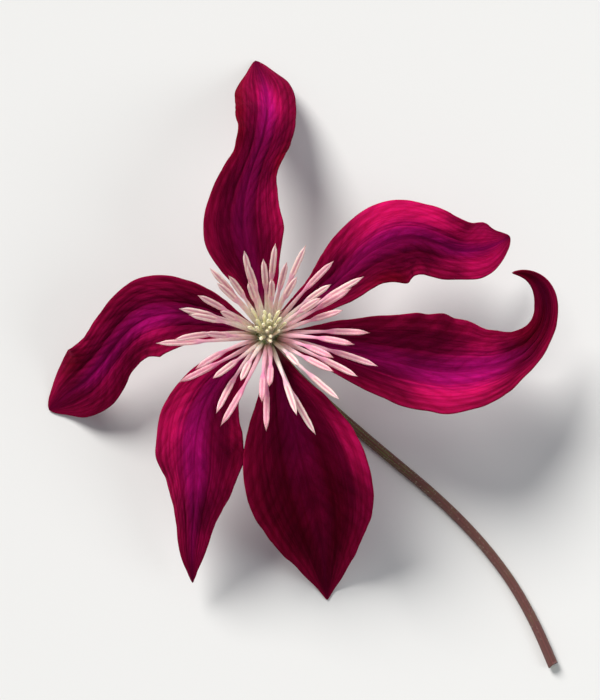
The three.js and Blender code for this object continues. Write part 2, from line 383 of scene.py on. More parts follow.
def end_group(group, **masks):
    """The node group with an output for each mask."""
    for name in masks:
        group.interface.new_socket(name, in_out="OUTPUT", socket_type="NodeSocketFloat")
    leave = group.nodes.new("NodeGroupOutput").inputs
    for name, mask in masks.items():
        group.links.new(mask, leave[name])
    return group


def vein_group():
    """Masks of a tepal's ribs, the finest net of its veins and its streaks, from the blade's UV map."""
    widths = {"Rib spread": RIB_SPREAD, "Rib width": RIB_WIDTH}
    group, come = start_group("Tepal veins", "UV", widths)
    uv = add(group, "SeparateXYZ", Vector=come["UV"])
    wander = flat_noise(group, come["UV"], Scale=5.0, Detail=2.0)
    drift = times(group, minus(group, wander, 0.5), 0.07)
    side = minus(group, times(group, uv.outputs["X"], 2.0), 1.0)
    across = maths(group, "ABSOLUTE", plus(group, side, drift))
    outer = maths(group, "ABSOLUTE", minus(group, across, come["Rib spread"]))
    apart = maths(group, "DIVIDE", maths(group, "MINIMUM", across, outer), come["Rib width"])
    ribs = maths(group, "POWER", maths(group, "SUBTRACT", 1.0, apart, clamp=True), 1.4)
    ribs = times(group, ribs, ease(group, uv.outputs["Y"], 0.97, 0.75))
    # The net's cells are longer than wide and slant out towards the tip
    slant = minus(group, uv.outputs["Y"], times(group, across, 0.3))
    bend = flat_noise(group, come["UV"], Scale=9.0, Detail=1.0)
    sway = times(group, minus(group, bend, 0.5), 1.8)
    cell_x = plus(group, times(group, side, 12.0), sway)
    cell_y = plus(group, times(group, slant, 27.0), sway)
    cells = add(group, "CombineXYZ", X=cell_x, Y=cell_y)
    edges = {"voronoi_dimensions": "2D", "feature": "DISTANCE_TO_EDGE"}
    mesh = add(group, "TexVoronoi", edges, Vector=cells.outputs[0], Scale=1.0, Randomness=0.85)
    lanes = add(group, "CombineXYZ", X=times(group, side, 13.0), Y=times(group, slant, 2.4))
    streaks = flat_noise(group, lanes.outputs[0], Scale=1.0, Detail=3.0, Roughness=0.6)
    net = ease(group, mesh.outputs["Distance"], 0.22, 0.0)
    return end_group(group, Across=across, Along=uv.outputs["Y"], Ribs=ribs, Net=net, Streaks=streaks)


def grain_group():
    """Mottling and fine grain for a plant's skin, from a place in space."""
    scales = {"Mottle scale": 160.0, "Grain scale": 2600.0}
    group, come = start_group("Plant grain", "Vector", scales)
    spot = come["Vector"]
    mottle = add(group, "TexNoise", Vector=spot, Scale=come["Mottle scale"], Detail=3.0, Roughness=0.55)
    grain = add(group, "TexNoise", Vector=spot, Scale=come["Grain scale"], Detail=2.0, Roughness=0.6)
    mottle = ease(group, mottle.outputs["Fac"], 0.32, 0.68)
    return end_group(group, Mottle=mottle, Grain=grain.outputs["Fac"])


def place_group(tree, name, maker, **values):
    """The outputs of a shared node group, which is made where it is first used."""
    node = tree.nodes.new("ShaderNodeGroup")
    node.node_tree = bpy.data.node_groups.get(name) or maker()
    for key, value in values.items():
        feed(tree, node.inputs[key.replace("_", " ")], value)
    return node.outputs


def lay_veins(tree, **widths):
    uv = add(tree, "UVMap", {"uv_map": "UVMap"})
    return place_group(tree, "Tepal veins", vein_group, UV=uv.outputs[0], **widths)


def lay_grain(tree, **scales):
    place = add(tree, "TexCoord")
    return place_group(tree, "Plant grain", grain_group, Vector=place.outputs["Object"], **scales)


def spot_on_tube(tree):
    """A place on a rolled tube: X runs round it and Y along it."""
    uv = add(tree, "UVMap", {"uv_map": "UVMap"})
    return add(tree, "SeparateXYZ", Vector=uv.outputs[0]).outputs


def read_mask(tree, name):
    return add(tree, "Attribute", {"attribute_name": name}).outputs["Fac"]


def raise_bumps(tree, height, strength, depth):
    return add(tree, "Bump", Strength=strength, Distance=depth, Height=height).outputs[0]


def new_material(name):
    material = bpy.data.materials.new(name)
    material.use_nodes = True
    return material, material.node_tree


def set_skin(tree, **values):
    """Links or sets the inputs of the material's own shader by name."""
    skin = tree.nodes["Principled BSDF"]
    for name, value in values.items():
        feed(tree, skin.inputs[name.replace("_", " ")], value)


def tepal_face_material(settings):
    """The velvety upper face: a purple bar up the middle, crimson towards the margins, with patches of
    painted light and shade.
    """
    material, tree = new_material("tepal_face")
    veins = lay_veins(tree)
    grain = lay_grain(tree)
    bar = settings.bar_colour
    inner = settings.inner_colour
    margin = settings.margin_colour
    ragged = times(tree, minus(tree, veins["Streaks"], 0.5), 0.45)
    spread = plus(tree, veins["Across"], ragged)
    spread = plus(tree, spread, ease(tree, veins["Along"], 0.6, 1.0, 0.0, 0.3))
    colour = ramp(tree, spread, [(0.0, bar), (0.12, bar), (0.36, inner), (0.5, inner), (1.0, margin)])
    # Patches of painted light in crimson and magenta, which also stand for the blade's own flush of colour;
    # where they are below 0 they are painted shade
    place = add(tree, "TexCoord")
    cloud = add(tree, "TexNoise", Vector=place.outputs["Object"], Scale=70.0, Detail=1.0, Roughness=0.4)
    bright = read_mask(tree, "bright")
    light_and_flush_share = plus(tree, plus(tree, bright, cloud.outputs["Fac"]), times(tree, ragged, 0.8))
    light_and_flush_share = ease(tree, light_and_flush_share, 0.5, 1.5, 0.0, 0.9)
    # Painted shade, duller and redder, where the patches are below 0
    colour = tint_where(tree, ease(tree, bright, 0.0, -0.5), colour, (0.75, 0.6, 0.4))
    crimson = (*settings.glow_colour, 1)
    magenta = (*settings.magenta_colour, 1)
    light_and_flush_colour = blend_colours(tree, ease(tree, spread, 0.15, 0.6), magenta, crimson)
    colour = blend_colours(tree, light_and_flush_share, colour, light_and_flush_colour)
    # Streaks, veins and ribs are darker
    dark = tint(tree, colour, (0.5, 0.35, 0.32))
    colour = blend_colours(tree, ease(tree, veins["Streaks"], 0.62, 0.38, 0.0, 0.4), colour, dark)
    side_veins = read_mask(tree, "side_veins")
    for mask, strength in ((side_veins, 0.4), (veins["Net"], 0.22), (veins["Ribs"], 0.45)):
        colour = blend_colours(tree, times(tree, mask, strength), colour, dark)
    colour = tint_where(tree, times(tree, grain["Mottle"], 0.6), colour, (1.5, 1.3, 1.5))
    foot = ease(tree, veins["Along"], 0.1, 0.0, 0.0, 0.6)
    relief = minus(tree, veins["Streaks"], times(tree, veins["Net"], 0.2))
    relief = plus(tree, relief, times(tree, grain["Grain"], 0.35))
    set_skin(
        tree,
        Base_Color=blend_colours(tree, foot, colour, (0.3, 0.12, 0.12, 1)),
        Roughness=ease(tree, grain["Mottle"], 0.0, 1.0, 0.58, 0.72),
        Normal=raise_bumps(tree, relief, 0.5, 0.00015),
        Specular_IOR_Level=0.003,
        Sheen_Weight=0.09,
        Sheen_Roughness=0.35,
        Sheen_Tint=(1.0, 0.15, 0.4, 1),
        Subsurface_Weight=0.2,
        Subsurface_Radius=(1.0, 0.1, 0.25),
        Subsurface_Scale=0.0006,
    )
    return material


def tepal_back_material(settings):
    """The paler under face: three mauve ribs in a magenta bar, with a downy edge."""
    material, tree = new_material("tepal_back")
    veins = lay_veins(tree, Rib_width=0.1)
    grain = lay_grain(tree)
    bar = settings.back_bar_colour
    margin = settings.back_margin_colour
    rib = (*settings.back_rib_colour, 1)
    spread = plus(tree, veins["Across"], times(tree, veins["Streaks"], 0.35))
    colour = ramp(tree, spread, [(0.3, bar), (0.72, margin)])
    colour = blend_colours(tree, ease(tree, veins["Along"], 0.7, 1.0), colour, (*margin, 1))
    dark = tint(tree, colour, (0.5, 0.42, 0.55))
    for share, other in (
        (times(tree, read_mask(tree, "side_veins"), 0.6), dark),
        (times(tree, veins["Net"], 0.3), dark),
        (times(tree, veins["Ribs"], 0.8), rib),
        (ease(tree, veins["Across"], 0.93, 1.02, 0.0, 0.5), rib),
    ):
        colour = blend_colours(tree, share, colour, other)
    colour = blend_colours(tree, times(tree, grain["Mottle"], 0.35), colour, rib, "SOFT_LIGHT")
    foot = ease(tree, veins["Along"], 0.2, 0.0, 0.0, 0.7)
    relief = plus(tree, times(tree, veins["Ribs"], 0.8), veins["Net"])
    relief = plus(tree, relief, times(tree, grain["Grain"], 0.5))
    set_skin(
        tree,
        Base_Color=blend_colours(tree, foot, colour, (0.32, 0.3, 0.16, 1)),
        Roughness=0.66,
        Normal=raise_bumps(tree, relief, 0.5, 0.00015),
        Specular_IOR_Level=0.03,
        Sheen_Weight=0.12,
        Sheen_Tint=(1.0, 0.3, 0.7, 1),
        Subsurface_Weight=0.25,
        Subsurface_Radius=(1.0, 0.2, 0.35),
        Subsurface_Scale=0.0008,
    )
    return material


def stamen_material(settings):
    """Creamy filaments that flush pink, and anthers of two pale sacs along a pink connective."""
    material, tree = new_material("stamen_skin")
    spot = spot_on_tube(tree)
    tone_and_shade = read_mask(tree, "tone_and_shade")
    grain = lay_grain(tree, Mottle_scale=700.0, Grain_scale=5200.0)
    cream = settings.filament_colour
    flush = settings.flush_colour
    anther = settings.anther_colour
    stops = [
        (0.0, (0.34, 0.36, 0.14)),
        (0.17, cream),
        (0.34, cream),
        (ANTHER_START - 0.05, flush),
        (ANTHER_START, flush),
        (ANTHER_START + 0.04, anther),
        (0.95, anther),
        (1.0, (0.5, 0.24, 0.2)),
    ]
    colour = ramp(tree, spot["Y"], stops, "LINEAR")
    # Some stamens are pinker and darker: on the side away from the key lamp this is painted shade, and the
    # rest differs at random
    colour = tint_where(tree, ease(tree, tone_and_shade, 0.2, 0.9), colour, (0.92, 0.56, 0.76))
    # The pinkest anthers have a dusky tip
    dusky = times(tree, ease(tree, spot["Y"], 0.86, 0.99), 0.75)
    dusky = times(tree, dusky, ease(tree, tone_and_shade, 0.6, 0.75))
    colour = blend_colours(tree, dusky, colour, (0.2, 0.06, 0.06, 1))
    # Pollen dusts the sacs, and the connective is a pink line up the middle of both sides of the anther
    on_anther = ease(tree, spot["Y"], ANTHER_START, ANTHER_START + 0.05)
    dust = times(tree, ease(tree, grain["Grain"], 0.45, 0.7), on_anther)
    colour = blend_colours(tree, times(tree, dust, 0.5), colour, (0.94, 0.84, 0.66, 1))
    middle = maths(tree, "ABSOLUTE", maths(tree, "SINE", times(tree, spot["X"], 2 * math.pi)))
    line = times(tree, ease(tree, middle, 0.91, 1.0), on_anther)
    colour = blend_colours(tree, times(tree, line, 0.75), colour, (*settings.connective_colour, 1))
    set_skin(
        tree,
        Base_Color=tint_where(tree, times(tree, grain["Mottle"], 0.5), colour, (1.2, 1.25, 1.2)),
        Roughness=0.6,
        Normal=raise_bumps(tree, grain["Grain"], 0.6, 0.00012),
        Specular_IOR_Level=0.3,
        Subsurface_Weight=0.35,
        Subsurface_Radius=(1.0, 0.6, 0.5),
        Subsurface_Scale=0.0006,
    )
    return material


def style_material(settings):
    """Greenish at the foot, cream at the silky top."""
    material, tree = new_material("style_skin")
    grain = lay_grain(tree, Mottle_scale=900.0, Grain_scale=5200.0)
    foot = settings.foot_colour
    top = settings.top_colour
    stops = [(0.0, foot), (0.5, top), (0.93, top), (1.0, (0.95, 0.9, 0.56))]
    colour = ramp(tree, spot_on_tube(tree)["Y"], stops, "LINEAR")
    set_skin(
        tree,
        Base_Color=tint_where(tree, times(tree, grain["Mottle"], 0.6), colour, (1.25, 1.25, 1.3)),
        Roughness=0.5,
        Normal=raise_bumps(tree, grain["Grain"], 0.4, 0.0001),
        Subsurface_Weight=0.35,
        Subsurface_Radius=(0.8, 0.7, 0.4),
        Subsurface_Scale=0.0006,
    )
    return material


def stalk_material(settings):
    """Green in the grooves and near the flower, flushed with purple brown on the ribs and near the cut, with
    a painted highlight along the ribs' crests.
    """
    material, tree = new_material("stalk_skin")
    spot = spot_on_tube(tree)
    grain = lay_grain(tree, Mottle_scale=220.0)
    lanes = add(tree, "CombineXYZ", X=times(tree, spot["X"], 40.0), Y=spot["Y"])
    streaks = flat_noise(tree, lanes.outputs[0], Scale=2.0, Detail=3.0)
    ridge = maths(tree, "COSINE", times(tree, spot["X"], 2 * math.pi * STALK_RIBS))
    amount = plus(tree, ease(tree, spot["Y"], 0.05, 0.7, 0.0, 0.45), streaks)
    amount = plus(tree, amount, times(tree, ridge, 0.12))
    amount = plus(tree, amount, times(tree, grain["Mottle"], 0.2))
    colour = ramp(tree, amount, [(0.55, settings.green), (0.98, settings.flush)])
    relief = plus(tree, streaks, times(tree, grain["Grain"], 0.4))
    set_skin(
        tree,
        # The ribs' crests are made paler: a painted highlight
        Base_Color=tint_where(tree, ease(tree, ridge, 0.4, 1.0, 0.0, 0.7), colour, (1.5, 1.45, 1.3)),
        Roughness=0.5,
        Normal=raise_bumps(tree, relief, 0.5, 0.00015),
        Subsurface_Weight=0.1,
        Subsurface_Radius=(0.5, 0.7, 0.2),
        Subsurface_Scale=0.0005,
    )
    return material


def speckled_material(name, dark, pale, scale, roughness):
    material, tree = new_material(name)
    grain = lay_grain(tree, Mottle_scale=scale)
    colour = ramp(tree, grain["Mottle"], [(0.0, dark), (1.0, pale)])
    set_skin(tree, Base_Color=colour, Roughness=roughness)
    return material


def cut_material():
    """The fresh cut: pale pith inside a green rind."""
    return speckled_material("stalk_cut", (0.42, 0.46, 0.2), (0.66, 0.68, 0.42), 2200.0, 0.35)


def hair_material():
    """The fine pale hairs on the stalk, the styles and the backs of the tepals, which share it."""
    made = bpy.data.materials.get("silky_hair")
    return made or speckled_material("silky_hair", (0.55, 0.52, 0.36), (0.8, 0.77, 0.62), 1500.0, 0.4)


# Shapes


def new_object(name, data):
    made = bpy.data.objects.new(name, data)
    bpy.context.scene.collection.objects.link(made)
    return made


def new_mesh():
    mesh = bmesh.new()
    mesh.loops.layers.uv.new("UVMap")
    return mesh


def close_mesh(mesh):
    """Closes the seams and the open feet, and turns every face outwards."""
    bmesh.ops.remove_doubles(mesh, verts=mesh.verts, dist=SEAM)
    bmesh.ops.holes_fill(mesh, edges=mesh.edges, sides=0)
    bmesh.ops.recalc_face_normals(mesh, faces=mesh.faces)


def finish_mesh(mesh, name, materials, turn=0.0):
    """Brings a mesh from the flower's frame to the row's and makes its object."""
    place = TO_ROW @ Matrix.Rotation(math.radians(turn), 4, "Z")
    bmesh.ops.transform(mesh, matrix=place, verts=mesh.verts)
    for face in mesh.faces:
        face.smooth = True
    data = bpy.data.meshes.new(name)
    mesh.to_mesh(data)
    mesh.free()
    for material in materials:
        data.materials.append(material)
    return new_object(name, data)


def fit_piece(piece, slot, *nodes):
    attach(piece, "root")
    if nodes:
        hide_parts(*nodes)


def roll_tube(mesh, sides, rings, place):
    """Rolls a grid into a tube. place(along, around) gives each point, around in radians."""
    made = bmesh.ops.create_grid(mesh, x_segments=sides, y_segments=rings, size=0.5, calc_uvs=True)
    for vert in made["verts"]:
        vert.co = place(vert.co.y + 0.5, 2 * math.pi * (vert.co.x + 0.5))
    return made["verts"]


def set_hair(mesh, kind, root, ahead, growth):
    """A three-sided hair. Its growth runs from -1 for the shortest to 1 for the longest."""
    length = kind["length"] + kind["change"] * growth
    turn = ahead.to_track_quat("Z", "Y").to_matrix().to_4x4()
    middle = root + ahead * (length / 2)
    bmesh.ops.create_cone(
        mesh,
        cap_ends=True,
        segments=3,
        radius1=kind["thickness"] / 2,
        radius2=0,
        depth=length,
        matrix=Matrix.Translation(middle) @ turn,
    )


def tepal_frame(tepal, s):
    """The blade's directions at a share of its length: ahead, side and up."""
    pitch, turn, roll = (math.radians(along(tepal[key], s)) for key in ("pitch", "turn", "roll"))
    level = math.cos(pitch)
    ahead = Vector((level * math.cos(turn), level * math.sin(turn), math.sin(pitch)))
    side = Matrix.Rotation(roll, 3, ahead) @ Vector((-math.sin(turn), math.cos(turn), 0))
    return ahead, side, ahead.cross(side)


def tepal_rows(tepal):
    """The blade's frames from claw to tip: place, side, up, half width and share of the length."""
    at = Vector((TEPAL_START - CLAW_BACK * tepal["length"], 0, 0))
    step = (1 + CLAW_BACK) / BLADE_ROWS
    found = []
    for i in range(BLADE_ROWS + 1):
        s = i * step - CLAW_BACK
        if i:
            at = at + tepal_frame(tepal, s - step / 2)[0] * (step * tepal["length"])
        _, side, up = tepal_frame(tepal, s)
        near_tip = max(s - 1 + TIP_CLOSING, 0) / TIP_CLOSING
        half = along(tepal["half_widths"], s) * max(1 - near_tip ** 2, 0) ** 0.5
        found.append((at.copy(), side, up, half, s))
    return found


def side_vein(s, v, seed):
    """How deep a place lies in a side vein. They leave the middle rib and slant out to the margin."""
    side = 0 if v > 0 else 0.5
    wander = 0.5 * noise.noise(Vector((2.2 * v, 7 * s, seed + side)))
    step = 15 * s - 4.4 * abs(v) ** 0.85 + wander + side
    from_rib = min(abs(v) / 0.12, 1)
    from_tip = min(max((0.97 - s) / 0.15, 0), 1)
    return hump(step - round(step), 0.19) * from_rib * from_tip


def painted_light_and_flush(tepal, s, v):
    """How much painted light a place on the upper face gets from the tepal's patches, which also stand for
    its own flush of colour. Below 0 it is painted shade, duller.
    """
    found = 0.0
    for middle, side, length, width, strength in tepal["bright"]:
        found += strength * hump(s - middle, length) * hump(v - side, width)
    return found


def tepal_point(tepal, row, v, settings, seed):
    """One point of the blade. v runs from -1 at the right margin to 1 at the left."""
    at, side, up, half, s = row
    swell = math.sin(math.pi * max(min(s, 1), 0))
    ripple = math.sin(2 * math.pi * (2.2 * s + tepal["phase"] + (0 if v > 0 else 0.3)))
    crease = math.sqrt(v * v + 0.01) - 0.1
    lift = half * (along(tepal["cup"], s) * v * v + along(tepal["fold"], s) * crease)
    lift += tepal["wave"] * swell * v * v * ripple
    # The margin's own finer crimping, uneven along the blade, and its slightly ragged line
    beat = 6.5 * s + 0.9 * math.sin(5 * s + seed) + (0 if v > 0 else 0.4)
    crimp = math.sin(2 * math.pi * beat + seed) * (0.6 + 0.4 * math.sin(9 * s + 2 * seed))
    lift += settings.crimp * swell ** 0.6 * abs(v) ** 3.5 * crimp
    reach = s * tepal["length"]
    ragged = noise.noise(Vector((reach * 0.33, 5 if v > 0 else 9, seed)))
    half += 0.45 * settings.crimp * swell * abs(v) ** 3 * ragged
    # Three sunken ribs, and the blade quilted between them
    from_rib = min(abs(v), abs(abs(v) - RIB_SPREAD))
    fade = min(max((0.96 - s) / 0.25, 0), 1) * min(half / 4, 1)
    lift -= settings.rib_depth * fade * hump(from_rib, RIB_WIDTH)
    lift -= settings.vein_depth * fade * side_vein(s, v, seed)
    crinkle = noise.noise(Vector((half * v * 0.36, reach * 0.22, seed * 7)))
    fine = noise.noise(Vector((half * v * 1.1, reach * 0.5, seed * 3)))
    lift += fade * (0.36 * crinkle + 0.12 * fine)
    point = at + side * (half * v) + up * lift
    point.z = press(point.z, FLOOR + settings.thickness / 2)
    return point


def build_tepal(number, tepal, settings, materials):
    """One blade: a bent sheet that gets its wall, thinner towards the margins, from a modifier."""
    seed = TEPAL_SEED * number
    mesh = new_mesh()
    weights = mesh.verts.layers.deform.new("thickness")
    # The patches' painted light and shade, which also carry the blade's own flush, go on the blade for its
    # face
    patches = mesh.verts.layers.float.new("bright")
    side_veins = mesh.verts.layers.float.new("side_veins")
    made = bmesh.ops.create_grid(
        mesh, x_segments=BLADE_COLUMNS, y_segments=BLADE_ROWS, size=0.5, calc_uvs=True
    )
    rows = tepal_rows(tepal)
    for vert in made["verts"]:
        v = -2 * vert.co.x
        row = rows[round((vert.co.y + 0.5) * BLADE_ROWS)]
        vert[patches] = painted_light_and_flush(tepal, row[4], v)
        vert[side_veins] = side_vein(row[4], v, seed)
        vert[weights][0] = 1 - 0.75 * v * v
        vert.co = tepal_point(tepal, row, v, settings, seed)
    # The row at the tip has no width and closes to a point
    bmesh.ops.remove_doubles(mesh, verts=mesh.verts, dist=SEAM)
    piece = finish_mesh(mesh, f"tepal_{number}_blade", materials, tepal["azimuth"])
    piece.vertex_groups.new(name="thickness")
    wall = piece.modifiers.new("Wall", "SOLIDIFY")
    wall.thickness = settings.thickness / 1000
    wall.offset = 0
    wall.vertex_group = "thickness"
    wall.thickness_vertex_group = 0.45
    wall.material_offset = 1
    wall.material_offset_rim = 0
    fit_piece(piece, "tepal", f"tepal_{number}")


def build_tepal_down(settings, hair):
    """Short hairs under the tepals, along their ribs and just inside their margins."""
    lanes = (-RIB_SPREAD, 0.0, RIB_SPREAD, -0.93, 0.93)
    mesh = bmesh.new()
    for number, tepal in enumerate(TEPALS, 1):
        seed = TEPAL_SEED * number
        rows = tepal_rows(tepal)
        turn = Matrix.Rotation(math.radians(tepal["azimuth"]), 3, "Z")
        for k in range(settings.hairs):
            n = round(mix(8, BLADE_ROWS - 14, 0.5 + 0.5 * scatter(k, seed)))
            v = lanes[k % len(lanes)] + 0.045 * scatter(k, seed + 1)
            root = tepal_point(tepal, rows[n], v, settings, seed)
            ahead = (tepal_point(tepal, rows[n + 1], v, settings, seed) - root).normalized()
            side = (tepal_point(tepal, rows[n], v + 0.02, settings, seed) - root).normalized()
            under = side.cross(ahead).normalized()
            wall = settings.thickness * mix(1, 0.3, v * v) / 2
            aim = under + ahead * (0.8 + 0.4 * scatter(k, seed + 2))
            aim = (aim + side * (0.5 * v + 0.4 * scatter(k, seed + 3))).normalized()
            growth = scatter(k, seed + 4)
            length = TEPAL_HAIR["length"] + TEPAL_HAIR["change"] * growth
            if root.z + min(aim.z, 0) * length > FLOOR + 0.3:
                set_hair(mesh, TEPAL_HAIR, turn @ (root + under * (wall - 0.05)), turn @ aim, growth)
    fit_piece(finish_mesh(mesh, "tepal_down", [hair]), "tepal")


def rod_frame(lean, swing, s):
    """A rod's directions at a share of its length: ahead, side and under."""
    tilt = math.radians(lean * (0.62 + 0.38 * s))
    turn = math.radians(swing * s)
    ahead = Vector((math.sin(tilt) * math.cos(turn), math.sin(tilt) * math.sin(turn), math.cos(tilt)))
    side = Vector((-math.sin(turn), math.cos(turn), 0))
    return ahead, side, side.cross(ahead)


def rod_line(root_radius, root_height, lean, swing, length, rings):
    """The frames of a rod that arches outwards from the flower's axis: place, ahead, side and under."""
    at = Vector((root_radius, 0, root_height))
    found = []
    for i in range(rings + 1):
        if i:
            at = at + rod_frame(lean, swing, (i - 0.5) / rings)[0] * (length / rings)
        found.append((at.copy(), *rod_frame(lean, swing, i / rings)))
    return found


def build_stamens(settings, material):
    """The brush of stamens, each a flat filament that swells into an anther of two sacs."""
    mesh = new_mesh()
    tone_and_shade_layer = mesh.verts.layers.float.new("tone_and_shade")
    rings = 44
    for i in range(settings.count):
        inward = (i / (settings.count - 1)) ** 1.4
        azimuth = math.radians(STAMENS["first_azimuth"] + i * GOLDEN_ANGLE + 5 * scatter(i, 3))
        short = (0.5 + 0.5 * math.cos(azimuth - math.radians(STAMENS["short_azimuth"]))) ** 2
        lean = mix(*STAMENS["lean"], inward) + 4 * scatter(i, 1)
        lean -= STAMENS["short_lean"] * short * (1 - inward)
        length = mix(*STAMENS["length"], inward) + 0.9 * scatter(i, 2) - STAMENS["short_length"] * short
        root = mix(*STAMENS["root_radius"], inward)
        swing = STAMENS["swing"] * scatter(i, 5)
        line = rod_line(root, STAMENS["root_height"], lean, swing, length, rings)
        spin = Matrix.Rotation(azimuth, 3, "Z")
        bow = STAMENS["bow"] * scatter(i, 7)

        def place(share, around):
            at, _, side, under = line[round(share * rings)]
            wide = along(STAMENS["half_widths"], share)
            deep = along(STAMENS["half_depths"], share)
            if share > ANTHER_START:
                # Two slightly uneven sacs, split along their edges, with the connective sunk between them
                deep *= 1 - 0.55 * hump(math.cos(around), 0.3)
                wide *= 1 - 0.09 * hump(math.sin(around), 0.25)
                wide *= 1 + 0.09 * noise.noise(Vector((math.cos(around), 26 * share, i)))
                deep *= 1 + 0.14 * noise.noise(Vector((2 * math.cos(around), 22 * share, i + 50)))
            drop = deep * math.sin(around) - bow * share ** 2
            return spin @ (at + side * (wide * math.cos(around)) + under * drop)

        # Pinker and darker on the side away from the key lamp, which is painted shade, and differing at
        # random besides
        tone_and_shade = 0.42 - 0.2 * math.sin(azimuth) + 0.42 * scatter(i, 8)
        for vert in roll_tube(mesh, 16, rings, place):
            vert[tone_and_shade_layer] = tone_and_shade
    close_mesh(mesh)
    fit_piece(finish_mesh(mesh, "stamen_brush", [material]), "stamen", "stamens")


def build_styles(settings, skin, hair):
    """The tuft of styles, and the silky hairs that stand off them."""
    mesh = new_mesh()
    down = bmesh.new()
    rings = 20
    for i in range(settings.count):
        inward = i / (settings.count - 1)
        root_radius = mix(*STYLES["root_radius"], inward)
        lean = mix(*STYLES["lean"], inward)
        swing = STYLES["swing"] * scatter(i, 6)
        length = mix(*STYLES["length"], inward) + 0.5 * scatter(i, 4)
        line = rod_line(root_radius, STYLES["root_height"], lean, swing, length, rings)
        spin = Matrix.Rotation(math.radians(i * GOLDEN_ANGLE), 3, "Z")
        bow = Vector((scatter(i, 9), scatter(i, 10), 0)) * STYLES["bow"]

        def place(share, around):
            at, _, side, under = line[round(share * rings)]
            radius = along(STYLES["radii"], share)
            out = side * (radius * math.cos(around)) + under * (radius * math.sin(around))
            return spin @ (at + out + bow * share ** 3)

        roll_tube(mesh, 8, rings, place)
        for k in range(settings.hairs):
            share = 0.3 + 0.62 * ((k + 0.5) / settings.hairs)
            ring = round(share * rings)
            root = place(ring / rings, 2.4 * k + i)
            at, ahead, _, _ = line[ring]
            out = (root - spin @ (at + bow * share ** 3)).normalized()
            aim = (out * 0.55 + spin @ ahead * (0.85 + 0.2 * scatter(k, i))).normalized()
            set_hair(down, STYLE_HAIR, root - out * 0.05, aim, scatter(k, i + 3))
    close_mesh(mesh)
    fit_piece(finish_mesh(mesh, "style_tuft", [skin]), "style", "styles")
    fit_piece(finish_mesh(down, "style_silk", [hair]), "style")


def stalk_stations(steps):
    """The stalk's frames from the receptacle's top to the cut: place, side, rise, radius and how ribbed."""
    found = []
    for height, radius in RECEPTACLE:
        found.append((Vector((0, 0, height)), Vector((0, 1, 0)), Vector((1, 0, 0)), radius, 0.0))
    centres = []
    for i in range(steps + 1):
        t = i / steps
        up = max(along(STALK["up"], t), FLOOR + along(STALK["radius"], t))
        centres.append(Vector((along(STALK["forward"], t), along(STALK["left"], t), up)))
    for i, centre in enumerate(centres):
        ahead = (centres[min(i + 1, steps)] - centres[max(i - 1, 0)]).normalized()
        side = (Vector((0, 1, 0)) - ahead * ahead.y).normalized()
        ribbed = min(i / (0.08 * steps), 1)
        found.append((centre, side, ahead.cross(side), along(STALK["radius"], i / steps), ribbed))
    return found


def build_stalk(settings, materials, hair):
    """The stalk with its receptacle and its slanting cut, and the down on it."""
    stations = stalk_stations(150)
    last = len(stations) - 1
    mesh = new_mesh()

    def place(share, around):
        centre, side, rise, radius, ribbed = stations[round(share * last)]
        groove = settings.rib_depth * ribbed * (0.5 - 0.5 * math.cos(STALK_RIBS * around))
        reach = radius * (1 - groove)
        point = centre + rise * (reach * math.cos(around)) - side * (reach * math.sin(around))
        point.z = max(point.z, FLOOR)
        return point

    roll_tube(mesh, 48, last, place)
    bmesh.ops.remove_doubles(mesh, verts=mesh.verts, dist=SEAM)
    rim = [edge for edge in mesh.edges if edge.is_boundary]
    cut = bmesh.ops.edgeloop_fill(mesh, edges=rim)["faces"]
    end, side = stations[last][:2]
    ahead = (end - stations[last - 1][0]).normalized()
    for face in cut:
        for vert in face.verts:
            vert.co -= ahead * (0.35 * (1 + (vert.co - end).dot(side)))
    # The rind stands a little proud of the pith
    bmesh.ops.inset_region(mesh, faces=cut, thickness=0.16, depth=0.02, use_even_offset=True)
    for face in cut:
        face.material_index = 1
    bmesh.ops.inset_region(mesh, faces=cut, thickness=0.3, depth=-0.03, use_even_offset=True)
    piece = finish_mesh(mesh, "stalk_and_receptacle", materials, STALK["azimuth"])
    fit_piece(piece, "stalk", "stalk")

    down = bmesh.new()
    for k in range(settings.hairs):
        # They stand closest together near the flower
        n = round((0.022 + 0.93 * (0.5 + 0.5 * scatter(k, 21)) ** 2.2) * last)
        root = place(n / last, math.pi * scatter(k, 22))
        out = (root - stations[n][0]).normalized()
        ahead = (stations[min(n + 1, last)][0] - stations[n - 1][0]).normalized()
        aim = (out * 0.9 - ahead * (0.5 + 0.3 * scatter(k, 23))).normalized()
        if root.z + aim.z * 0.7 > FLOOR + 0.05:
            set_hair(down, STALK_HAIR, root - out * 0.04, aim, scatter(k, 24))
    fit_piece(finish_mesh(down, "stalk_down", [hair], STALK["azimuth"]), "stalk")


# The stage


def lay_floor(settings):
    mesh = bmesh.new()
    bmesh.ops.create_grid(mesh, x_segments=1, y_segments=1, size=6.0)
    data = bpy.data.meshes.new("floor")
    mesh.to_mesh(data)
    mesh.free()
    new_object("floor", data)
    material, tree = new_material("pale_floor")
    set_skin(tree, Base_Color=(*settings.floor_colour, 1), Roughness=0.8, Specular_IOR_Level=0.2)
    data.materials.append(material)


def hang_lamp(name, kind, place, power, colour, **form):
    """A lamp that shines on the middle of the flower."""
    data = bpy.data.lights.new(name, kind)
    data.energy = power
    data.color = colour
    for key, value in form.items():
        setattr(data, key, value)
    lamp = new_object(name, data)
    lamp.location = place
    lamp.rotation_euler = (FLOWER_MIDDLE - Vector(place)).to_track_quat("-Z", "Y").to_euler()


